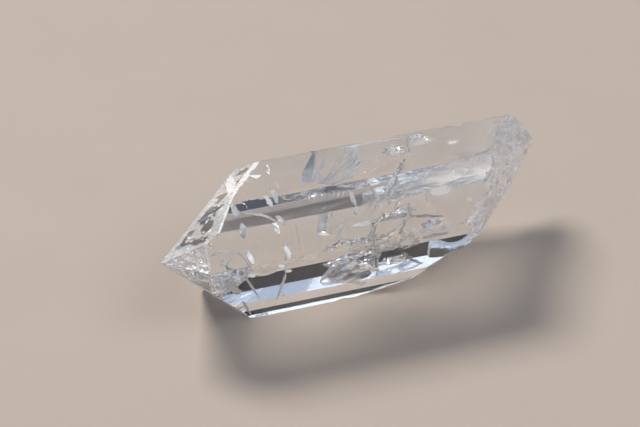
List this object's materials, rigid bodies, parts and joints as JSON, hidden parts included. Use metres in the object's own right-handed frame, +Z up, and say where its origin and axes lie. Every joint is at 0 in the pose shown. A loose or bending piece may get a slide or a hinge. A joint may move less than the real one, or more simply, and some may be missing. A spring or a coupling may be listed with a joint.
{
  "type": "quartz crystal",
  "caption": "Clear single quartz point with a six-sided prism, a pointed tip and a rough broken root, lying on a prism face.",
  "frame": {"origin": "on the ground plane, below the middle of the crystal's bounding box", "axes": "+X along the crystal's long axis from the tip to the broken root, +Y to the side away from the lower front prism face, +Z up from the prism face it rests on"},
  "size_m": [0.0548, 0.0212, 0.018],
  "materials": {
    "clear_quartz": "clear glassy faces with a rough broken root"
  },
  "bodies": {
    "root": {"crystal": "clear_quartz"}
  },
  "joints": []
}
